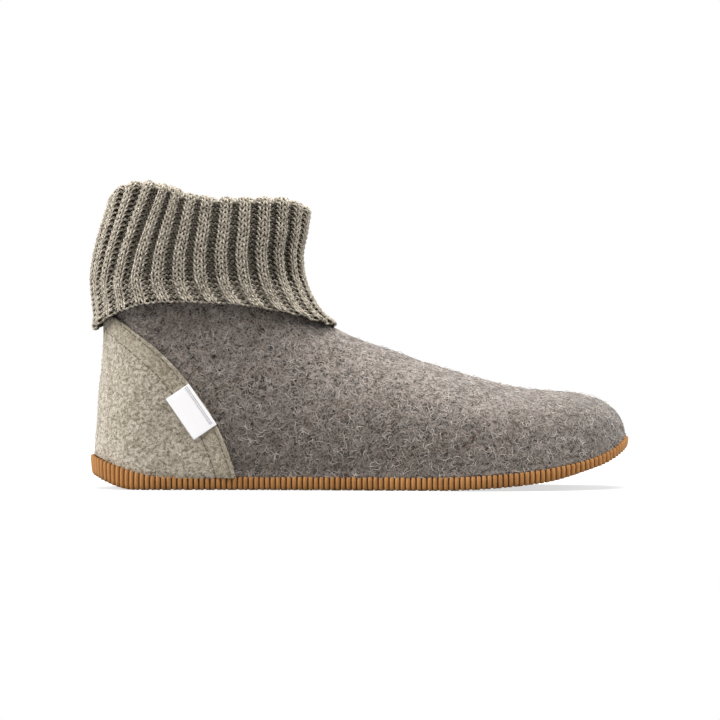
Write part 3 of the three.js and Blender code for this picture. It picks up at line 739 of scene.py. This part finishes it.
# Its own short fibres: the patch is felted harder, so they are finer and lie closer.
light_wool = fibre_wool.copy()
light_wool.name = "loose_light_wool_fibre"
for colour_node in [n for n in light_wool.node_tree.nodes if n.type == "MIX"]:
    colour_node.inputs[6].default_value = linear("#a89e88")
    colour_node.inputs[7].default_value = linear("#e6decd")
patch_fibres = lay_fibres(
    heel_patch,
    "patch_fibres",
    3600,
    21,
    5,
    0.6,
    0.5,
    0.06,
    0.8,
    lambda p, n: n.x * (p.x + 60 * MM) + n.y * p.y > 0,
    0.09,
)
patch_fibres.data.materials.append(light_wool)
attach(patch_fibres, "root")

# The patch's stitches: a lockstitch in dark olive sewing thread, each stitch drawn down at its ends.
STITCH_PITCH = 3.0
STITCH_LENGTH = 2.3
patch_tree = tree_of(heel_patch.data)
spans = np.linalg.norm(np.diff(front_line, axis=0), axis=1)
front_at = np.concatenate([[0], np.cumsum(spans)])
thread_lines = []
for side, inset in ((-1, STITCH_LINE), (1, STITCH_LINE), (-1, CREASE_LINE), (1, CREASE_LINE)):
    for start in np.arange(1.5, front_at[-1] - 3, STITCH_PITCH):
        line = []
        for share, lift in ((0, -0.25), (0.2, 0.14), (0.8, 0.14), (1, -0.25)):
            along = start + share * STITCH_LENGTH
            x, z = [np.interp(along, front_at, front_line[:, k]) for k in (0, 1)]
            ahead = np.array([np.interp(along + 1, front_at, front_line[:, k]) for k in (0, 1)])
            way = (ahead - [x, z]) / max(np.linalg.norm(ahead - [x, z]), 1e-6)
            x, z = x - way[1] * inset, z + way[0] * inset
            hit, normal = patch_tree.ray_cast(Vector((x * MM, side * 0.1, z * MM)), Vector((0, -side, 0)))[:2]
            if hit is not None:
                line.append(hit + normal * lift * MM)
        if len(line) == 4:
            thread_lines.append((np.array(line), [1, 1, 1, 1], False))
patch_stitches = curves_to_piece(thread_lines, "patch_stitches", 6, 0.2 * MM)
thread = new_material("olive_sewing_thread")
thread_shader = add_node(
    thread,
    "ShaderNodeBsdfPrincipled",
    None,
    {"Base Color": linear("#574e3c"), "Roughness": 0.7, "Specular IOR Level": 0.3, "Sheen Weight": 0.2},
)
add_node(thread, "ShaderNodeOutputMaterial", None, {"Surface": thread_shader.outputs[0]})
patch_stitches.data.materials.append(thread)
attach(patch_stitches, "root")

# The side label: a small tab of white woven tape, sewn down flat over the patch's edge and left blank.
label_shape = merged_copy("side_label")
bmesh.ops.bevel(
    label_shape,
    geom=[e for e in label_shape.edges if e.calc_face_angle(0) > math.radians(50)],
    offset=0.12 * MM,
    affect="EDGES",
    segments=2,
    profile=0.5,
    material=-1,
)
woven_label = to_piece(label_shape, "woven_label", 1)
tape = new_material("white_woven_tape")
place = add_node(tape, "ShaderNodeTexCoord")
turned = add_node(
    tape, "ShaderNodeMapping", None, {"Vector": place.outputs["Object"], "Rotation": (0, math.radians(-55), 0)}
)
# The tape's threads are 0.25 mm apart, drawn at 0.5 mm so that they show.
warp = add_node(
    tape, "ShaderNodeTexWave", {"bands_direction": "X"}, {"Vector": turned.outputs[0], "Scale": 1000 / 0.5 / 6.28}
)
weft = add_node(
    tape, "ShaderNodeTexWave", {"bands_direction": "Z"}, {"Vector": turned.outputs[0], "Scale": 1000 / 0.5 / 6.28}
)
weave = add_node(tape, "ShaderNodeMath", {"operation": "MULTIPLY"}, {0: warp.outputs[1], 1: weft.outputs[1]})
tape_relief = add_node(tape, "ShaderNodeBump", None, {"Height": weave.outputs[0], "Strength": 0.3, "Distance": 0.1 * MM})
tape_colour = add_node(
    tape,
    "ShaderNodeMix",
    {"data_type": "RGBA"},
    {0: weave.outputs[0], 6: linear("#f0eeef"), 7: linear("#fdfcfd")},
)
tape_shader = add_node(
    tape,
    "ShaderNodeBsdfPrincipled",
    None,
    {"Base Color": tape_colour.outputs[2], "Roughness": 0.6, "Specular IOR Level": 0.3, "Normal": tape_relief.outputs[0]},
)
add_node(tape, "ShaderNodeOutputMaterial", None, {"Surface": tape_shader.outputs[0]})
woven_label.data.materials.append(tape)
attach(woven_label, "root")
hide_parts("side_label")

# The label is sewn down by two close rows of grey thread, a little inside its front long edge.
LABEL_FRONT = [{"x": -82.9, "z": 51.6}, {"x": -69.6, "z": 32.2}]
LABEL_ROWS = [1.2, 2.1]  # from the label's front edge
label_tree = tree_of(woven_label.data)


def unit(vectors):
    return vectors / np.maximum(np.linalg.norm(vectors, axis=-1, keepdims=True), 1e-9)


label_ends = np.array([[r["x"], r["z"]] for r in LABEL_FRONT])
label_way = unit(label_ends[1] - label_ends[0])
label_back = np.array([label_way[1], -label_way[0]])
label_lines = []
for inset in LABEL_ROWS:
    for start in np.arange(0.3, np.linalg.norm(label_ends[1] - label_ends[0]) - 1.4, 1.7):
        line = []
        for along, lift in ((0, -0.08), (0.3, 0.05), (1.1, 0.05), (1.4, -0.08)):
            x, z = label_ends[0] + label_way * (start + along) + label_back * inset
            hit, normal = label_tree.ray_cast(Vector((x * MM, -0.1, z * MM)), Vector((0, 1, 0)))[:2]
            if hit is not None:
                line.append(hit + normal * lift * MM)
        if len(line) == 4:
            label_lines.append((np.array(line), [1, 1, 1, 1], False))
label_stitches = curves_to_piece(label_lines, "label_stitches", 6, 0.13 * MM)
grey_thread = new_material("grey_sewing_thread")
grey_shader = add_node(
    grey_thread,
    "ShaderNodeBsdfPrincipled",
    None,
    {"Base Color": linear("#8d8a90"), "Roughness": 0.6, "Specular IOR Level": 0.3},
)
add_node(grey_thread, "ShaderNodeOutputMaterial", None, {"Surface": grey_shader.outputs[0]})
label_stitches.data.materials.append(grey_thread)
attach(label_stitches, "root")

# The cuff: 2 x 2 rib knitted in one tube of melange wool yarn and folded down over itself. Pairs of
# knit columns stand up as ribs, pairs of purl columns sink in between, and rows run parallel to the hem.
COLLAR_HEIGHT = 102
FOLD_HEIGHT = 143
HEM_ROWS = [
    {"along": 0, "z": 76.7},
    {"along": 0.05, "z": 81.6},
    {"along": 0.11, "z": 85.5},
    {"along": 0.2, "z": 89.3},
    {"along": 0.29, "z": 91.0},
    {"along": 0.4, "z": 91.3},
    {"along": 0.6, "z": 90.0},
    {"along": 0.71, "z": 88.0},
    {"along": 0.81, "z": 86.0},
    {"along": 0.92, "z": 82.4},
    {"along": 1, "z": 80.4},
]
FOLD_RISE = [
    {"along": 0, "rise": 2.0},
    {"along": 0.03, "rise": 4.5},
    {"along": 0.06, "rise": 6.4},
    {"along": 0.12, "rise": 7.6},
    {"along": 0.2, "rise": 7.9},
    {"along": 0.27, "rise": 6.7},
    {"along": 0.35, "rise": 5.0},
    {"along": 0.37, "rise": 2.6},
    {"along": 0.47, "rise": 1.1},
    {"along": 0.53, "rise": 0},
    {"along": 0.88, "rise": 0},
    {"along": 0.93, "rise": -1.2},
    {"along": 0.97, "rise": -3},
    {"along": 1, "rise": -4.5},
]
# How far the ribs lean forward by the time they reach the fold, by the share of the way round from the
# back, along either side, as a share of the way round.
HEM_FLARE = {"over": 6, "by": 1.3}  # how far the hem stands off the felt
RIB_LEAN = [
    {"at": 0, "lean": 0},
    {"at": 0.05, "lean": 0.022},
    {"at": 0.1, "lean": 0.038},
    {"at": 0.15, "lean": 0.032},
    {"at": 0.2, "lean": 0.01},
    {"at": 0.25, "lean": -0.004},
    {"at": 0.35, "lean": -0.012},
    {"at": 0.45, "lean": -0.005},
    {"at": 0.5, "lean": 0},
]
KNIT_RIBS = 28
ROW_PITCH = 2.5
ROWS = 52
YARN_ROUND = 0.52
LOOP_DEPTH = 0.44
LOOP_REACH = 0.82  # half a loop's height, in rows
LOOP_LEAN = 0.29  # how far a loop's legs lean, in columns
FURROW_DEPTH = 2.9
CUFF_THICKNESS = 7.5  # both layers and the gap between them
YARN_SINK = 0.75  # how far inside the cuff's outer face the yarn's middle line lies

cuff_tree = tree_of(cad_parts["knit_cuff"].data)
hem_along, hem_z = [[r[k] for r in HEM_ROWS] for k in ("along", "z")]
fold_along, fold_rise = [[r[k] for r in FOLD_RISE] for k in ("along", "rise")]


def level_height(up, along):
    """Height in mm of a level of the cuff: 0 is the hem, 1 the collar's height, 2 the fold."""
    if up <= 1:
        return np.interp(along, hem_along, hem_z) * (1 - up) + COLLAR_HEIGHT * up
    return COLLAR_HEIGHT + (up - 1) * (FOLD_HEIGHT - COLLAR_HEIGHT + np.interp(along, fold_along, fold_rise))


def cuff_hit(start, way):
    hit = cuff_tree.ray_cast(Vector(start) * MM, Vector(way))[0]
    return None if hit is None else np.array(hit) / MM


ANGLES = 720
COLUMNS = 8 * KNIT_RIBS


def level_ring(up):
    """The cuff's outer face at a level, on the crests of its ribs, as evenly spaced places."""
    back = cuff_hit((-300, 0, level_height(up, 0) + 0.3), (1, 0, 0))[0]
    front = cuff_hit((300, 0, level_height(up, 1) + 0.3), (-1, 0, 0))[0]
    middle = (back + front) / 2
    reach, heights = np.zeros(ANGLES), np.zeros(ANGLES)
    turns = math.pi + np.arange(ANGLES) * 2 * math.pi / ANGLES
    for i, turn in enumerate(turns):
        way = np.array([math.cos(turn), math.sin(turn), 0])
        far = math.hypot(math.cos(turn) * (front - back) / 2, math.sin(turn) * 34)
        for _ in range(3):
            height = level_height(up, np.clip((middle + far * way[0] - back) / (front - back), 0, 1))
            hits, lift = [], 0
            while len(hits) < (6 if up < 0.15 else 1):
                hit = cuff_hit(way * 150 + [middle, 0, height + lift], -way)
                if hit is not None and np.dot(hit - [middle, 0, 0], way) > 15:
                    hits.append(math.hypot(hit[0] - middle, hit[1]))
                lift += 0.3
            far = max(hits)
        reach[i], heights[i] = far, height
    window = ANGLES // KNIT_RIBS // 2
    crest = np.max([np.roll(reach, k) for k in range(-window, window + 1)], axis=0)
    for _ in range(2):
        crest = np.mean([np.roll(crest, k) for k in range(-window // 2, window // 2 + 1)], axis=0)
    ring = np.column_stack([middle + crest * np.cos(turns), crest * np.sin(turns), heights])
    closed = np.vstack([ring, ring[:1]])
    flat_steps = np.diff(closed, axis=0)[:, :2] if up > 1 else np.diff(closed, axis=0)
    lengths = np.concatenate([[0], np.cumsum(np.linalg.norm(flat_steps, axis=1))])
    wanted = np.arange(COLUMNS) / COLUMNS * lengths[-1]
    return np.column_stack([np.interp(wanted, lengths, closed[:, k]) for k in range(3)])


outer_levels = np.concatenate([[0.03], np.arange(0.1, 1.75, 0.1)])
outer = np.array([level_ring(up) for up in outer_levels])
centre = outer.mean(axis=1, keepdims=True)
top_along = (outer[-1][:, 0] - outer[-1][:, 0].min()) / np.ptp(outer[-1][:, 0])
rise = (level_height(2, top_along) - 3.9 - outer[-1][:, 2])[:, None]
slope = (outer[-1] - outer[-3]) / (outer[-1] - outer[-3])[:, 2:]
outer = np.array([*outer, outer[-1] + slope * rise * 0.5, outer[-1] + slope * rise])
around = np.roll(outer, -2, axis=1) - np.roll(outer, 2, axis=1)
facing = unit(np.cross(around, np.gradient(outer, axis=0)))
if np.sum(facing * (outer - outer.mean(axis=1, keepdims=True))) < 0:
    facing = -facing
flat = unit(facing * [1, 1, 0])
outside = outer - facing * YARN_SINK
start, level = outside[-1], flat[-1]
far_side = outer[-1] - level * (CUFF_THICKNESS - YARN_SINK)
top_height = level_height(2, top_along) - YARN_SINK
turn_over = [
    (start + far_side) / 2
    + (start - far_side) / 2 * math.cos(angle)
    + np.column_stack([0 * top_height, 0 * top_height, (top_height - start[:, 2]) * math.sin(angle)])
    for angle in np.linspace(0, math.pi, 12)[1:]
]
inside = [(outer - flat * (CUFF_THICKNESS - YARN_SINK))[i] for i in range(len(outer) - 2, 10, -1)]
path = np.array([*outside, *turn_over, *inside])
path_at = np.concatenate([np.zeros((1, COLUMNS)), np.cumsum(np.linalg.norm(np.diff(path, axis=0), axis=2), axis=0)])
GRID = 0.5
grid_at = np.arange(0, path_at[-1].max() + GRID, GRID)
knit_grid = np.array(
    [[np.interp(grid_at, path_at[:, c], path[:, c, k]) for k in range(3)] for c in range(COLUMNS)]
).transpose(0, 2, 1)
across_grid = np.roll(knit_grid, -1, axis=0) - np.roll(knit_grid, 1, axis=0)
grid_normals = unit(np.cross(across_grid, np.gradient(knit_grid, axis=1)))
if np.sum(grid_normals[:, :40] * (knit_grid[:, :40] - knit_grid[:, :40].mean(axis=0))) < 0:
    grid_normals = -grid_normals
kink_at = path_at[10]
fold_at = path_at[len(outside)] + 3


def by_column(turn, values):
    """One value for each column of the net, read at shares of the way round."""
    return np.interp((turn % 1) * COLUMNS, np.arange(COLUMNS), values)


lean_at, lean_by = [[r[k] for r in RIB_LEAN] for k in ("at", "lean")]


def on_knit(turn, at):
    """Places and normals on the cuff, at shares of the way round and mm along the knit from the hem."""
    kink, fold = by_column(turn, kink_at), by_column(turn, fold_at)
    from_back = np.minimum(turn % 1, 1 - turn % 1)
    side = np.where(turn % 1 < 0.5, 1, -1)
    turn = turn + side * np.interp(from_back, lean_at, lean_by) * np.clip((at - kink) / (fold - kink), 0, 1)
    column = (turn % 1) * COLUMNS
    row = np.clip(at / GRID, 0, len(grid_at) - 1.001)
    c0, r0 = np.floor(column).astype(int) % COLUMNS, np.floor(row).astype(int)
    c1, r1 = (c0 + 1) % COLUMNS, r0 + 1
    fc, fr = (column % 1)[:, None], (row - r0)[:, None]
    found = []
    for grid in (knit_grid, grid_normals):
        low = grid[c0, r0] * (1 - fc) + grid[c1, r0] * fc
        high = grid[c0, r1] * (1 - fc) + grid[c1, r1] * fc
        found.append(low * (1 - fr) + high * fr)
    flare = HEM_FLARE["by"] * np.clip(1 - at / HEM_FLARE["over"], 0, 1)
    return found[0] + unit(found[1] * [1, 1, 0]) * flare[:, None], unit(found[1])


def furrow_depth(turn, at):
    """How deep the purl columns sink: most above the kink, little on the inner layer."""
    away = np.abs((turn * KNIT_RIBS - 0.3 + 0.5) % 1 - 0.5)
    above = np.clip((at - by_column(turn, kink_at)) / 6 + 0.5, 0, 1)
    above = above * above * (3 - 2 * above)
    inner = np.clip((at - by_column(turn, fold_at)) / 8, 0, 1)
    share = np.clip((away - 0.19) / 0.2, 0, 1)
    return share * share * (3 - 2 * share) * (0.45 + 0.55 * above) * (1 - 0.78 * inner) * FURROW_DEPTH


LOOP_STEPS = 8
rng = np.random.default_rng(5)
stitch_turns = np.arange(LOOP_STEPS) / LOOP_STEPS * 2 * math.pi


def knit_row(row):
    """The yarn of one row, once round the cuff, which places are on the knit, and how sunk each lies, for its painted
    shade.
    """
    phase = np.tile(stitch_turns, 4 * KNIT_RIBS)
    wale = np.repeat(np.arange(4 * KNIT_RIBS), LOOP_STEPS)
    rib, kind = wale // 4, wale % 4
    at_row = (row + 0.86) * ROW_PITCH
    above = np.clip((at_row - by_column((rib + 0.3) / KNIT_RIBS, kink_at)) / 6 + 0.5, 0, 1)
    above = above * above * (3 - 2 * above)
    knit_share = 0.25 + 0.065 * above
    purl_share = 0.5 - knit_share
    widths = np.where(kind < 2, knit_share, purl_share)
    starts = np.select(
        [kind == 0, kind == 1, kind == 2], [-knit_share, 0 * knit_share, knit_share], knit_share + purl_share
    )
    loose = rng.normal(0, 0.05, 4 * KNIT_RIBS)[wale]
    across = starts + widths * (phase / (2 * math.pi) + (LOOP_LEAN + loose * 0.3) * np.sin(2 * phase))
    climb = -LOOP_REACH * (1 + loose) * ROW_PITCH * np.cos(phase)
    side = np.where(kind < 2, 1.0, -1.0)
    out = -side * LOOP_DEPTH * np.cos(2 * phase)
    away = np.abs((across + 0.5) % 1 - 0.5)
    dome = 0.35 * (away / 0.3) ** 2
    turn = (rib + 0.3 + across) / KNIT_RIBS
    furrow = furrow_depth(turn, at_row)
    at = at_row + climb
    places, normals = on_knit(turn, at)
    places = places + normals * (out - furrow - np.minimum(dome, 0.5))[:, None]
    hidden = (LOOP_DEPTH - out) / (2 * LOOP_DEPTH)
    return places, at < by_column(turn, path_at[-1]) - 1, 0.5 * furrow / FURROW_DEPTH + 0.55 * hidden


def knit_piece(name, rows, sides):
    lines, depths = [], []
    for row in rows:
        places, there, depth = knit_row(row)
        edges = np.flatnonzero(np.diff(there.astype(int))) + 1
        runs = [np.arange(len(places))] if there.all() else np.split(np.arange(len(places)), edges)
        for run in runs:
            if there[run[0]] and len(run) > 2 * LOOP_STEPS:
                lines.append((places[run] * MM, np.ones(len(run)), bool(there.all())))
                depths.append(depth[run])
    piece = curves_to_piece(lines, name, sides, YARN_ROUND * MM)
    middles = np.concatenate([line[0] for line in lines])
    nearest = KDTree(len(middles))
    for i, middle in enumerate(middles):
        nearest.insert(middle, i)
    nearest.balance()
    depths = np.concatenate(depths)
    shade = piece.data.attributes.new("shade_depth", "FLOAT", "POINT")
    found = [depths[nearest.find(v.co)[1]] for v in piece.data.vertices]
    shade.data.foreach_set("value", np.array(found, np.float32))
    return piece


# Melange wool yarn: fibres of several greys and browns spun together, so its colour changes every
# millimetre or two, fuzzy and without shine.
yarn = new_material("melange_wool_yarn")
place = add_node(yarn, "ShaderNodeTexCoord")
melange = add_node(
    yarn, "ShaderNodeTexNoise", None, {"Vector": place.outputs["Object"], "Scale": 520, "Detail": 3, "Roughness": 0.7}
)
melange_share = add_node(
    yarn, "ShaderNodeMapRange", None, {"Value": melange.outputs[0], "From Min": 0.36, "From Max": 0.64}
)
yarn_ground = add_node(
    yarn,
    "ShaderNodeMix",
    {"data_type": "RGBA"},
    {0: melange_share.outputs[0], 6: linear("#5d5546"), 7: linear("#b9afa0")},
)
flecks = add_node(
    yarn, "ShaderNodeTexNoise", None, {"Vector": place.outputs["Object"], "Scale": 1500, "Detail": 2}
)
fleck_share = add_node(
    yarn, "ShaderNodeMapRange", None, {"Value": flecks.outputs[0], "From Min": 0.54, "From Max": 0.66}
)
yarn_colour = add_node(
    yarn,
    "ShaderNodeMix",
    {"data_type": "RGBA"},
    {0: fleck_share.outputs[0], 6: yarn_ground.outputs[2], 7: linear("#cfc6b6")},
)
# Painted shade: the yarn is darkened where it sinks into the purl furrows and where a loop passes behind its
# neighbours.
sunk = add_node(yarn, "ShaderNodeAttribute", {"attribute_name": "shade_depth"})
furrow_shade_share = add_node(
    yarn, "ShaderNodeMapRange", None, {"Value": sunk.outputs["Fac"], "From Min": 0.12, "From Max": 0.9, "To Max": 0.8}
)
yarn_tone = add_node(
    yarn,
    "ShaderNodeMix",
    {"data_type": "RGBA"},
    {0: furrow_shade_share.outputs[0], 6: yarn_colour.outputs[2], 7: linear("#2d2a20")},
)
yarn_relief = add_node(
    yarn, "ShaderNodeBump", None, {"Height": flecks.outputs[0], "Strength": 0.7, "Distance": 0.25 * MM}
)
yarn_shader = add_node(
    yarn,
    "ShaderNodeBsdfPrincipled",
    None,
    {
        "Base Color": yarn_tone.outputs[2],
        "Roughness": 0.95,
        "Specular IOR Level": 0.1,
        "Sheen Weight": 0.2,
        "Normal": yarn_relief.outputs[0],
    },
)
add_node(yarn, "ShaderNodeOutputMaterial", None, {"Surface": yarn_shader.outputs[0]})
knit_pieces = [
    knit_piece("knit_rows_low", range(0, 15), 5),
    knit_piece("knit_rows_top", range(15, 32), 5),
    knit_piece("knit_rows_inside", range(32, ROWS), 3),
]
for piece in knit_pieces:
    piece.data.materials.append(yarn)
    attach(piece, "root")

# Behind the loops lies the rest of the knit's thickness, dark because hardly any light gets in. It
# follows the furrows and is folded over at the top with the knit.
BACKING_DEPTH = 0.85  # behind the yarn's middle line
BACKING_WALL = 0.7
BACKING_COLUMNS = 8 * KNIT_RIBS
BACKING_STEP = 2.0
backing_rows = int((path_at[-1].min() - 1) / BACKING_STEP)
backing_shape = bmesh.new()
bmesh.ops.create_grid(backing_shape, x_segments=BACKING_COLUMNS, y_segments=backing_rows, size=0.5)
corners = np.array([[v.co.x + 0.5, v.co.y + 0.5] for v in backing_shape.verts])
backing_turns = corners[:, 0]
backing_ends = by_column(backing_turns, path_at[-1])
backing_at = 0.1 + corners[:, 1] * (backing_ends - 0.5)
backing_places, backing_normals = on_knit(backing_turns, backing_at)
backing_places -= backing_normals * (furrow_depth(backing_turns, backing_at) + BACKING_DEPTH)[:, None]
for vertex, spot in zip(backing_shape.verts, backing_places):
    vertex.co = Vector(spot) * MM
bmesh.ops.remove_doubles(backing_shape, verts=backing_shape.verts, dist=0.02 * MM)
bmesh.ops.recalc_face_normals(backing_shape, faces=backing_shape.faces)
for face in backing_shape.faces:
    face.smooth = True
knit_backing = to_piece(backing_shape, "knit_backing")
lining = knit_backing.modifiers.new("thickness", "SOLIDIFY")
lining.thickness = BACKING_WALL * MM
lining.offset = -1
shaded_wool = new_material("shaded_wool_knit")
place = add_node(shaded_wool, "ShaderNodeTexCoord")
shade = add_node(shaded_wool, "ShaderNodeTexNoise", None, {"Vector": place.outputs["Object"], "Scale": 500, "Detail": 2})
shade_colour = add_node(
    shaded_wool,
    "ShaderNodeMix",
    {"data_type": "RGBA"},
    {0: shade.outputs[0], 6: linear("#28241d"), 7: linear("#454034")},
)
shade_shader = add_node(
    shaded_wool,
    "ShaderNodeBsdfPrincipled",
    None,
    {"Base Color": shade_colour.outputs[2], "Roughness": 1.0, "Specular IOR Level": 0.05},
)
add_node(shaded_wool, "ShaderNodeOutputMaterial", None, {"Surface": shade_shader.outputs[0]})
knit_backing.data.materials.append(shaded_wool)
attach(knit_backing, "root")
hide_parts("knit_cuff")
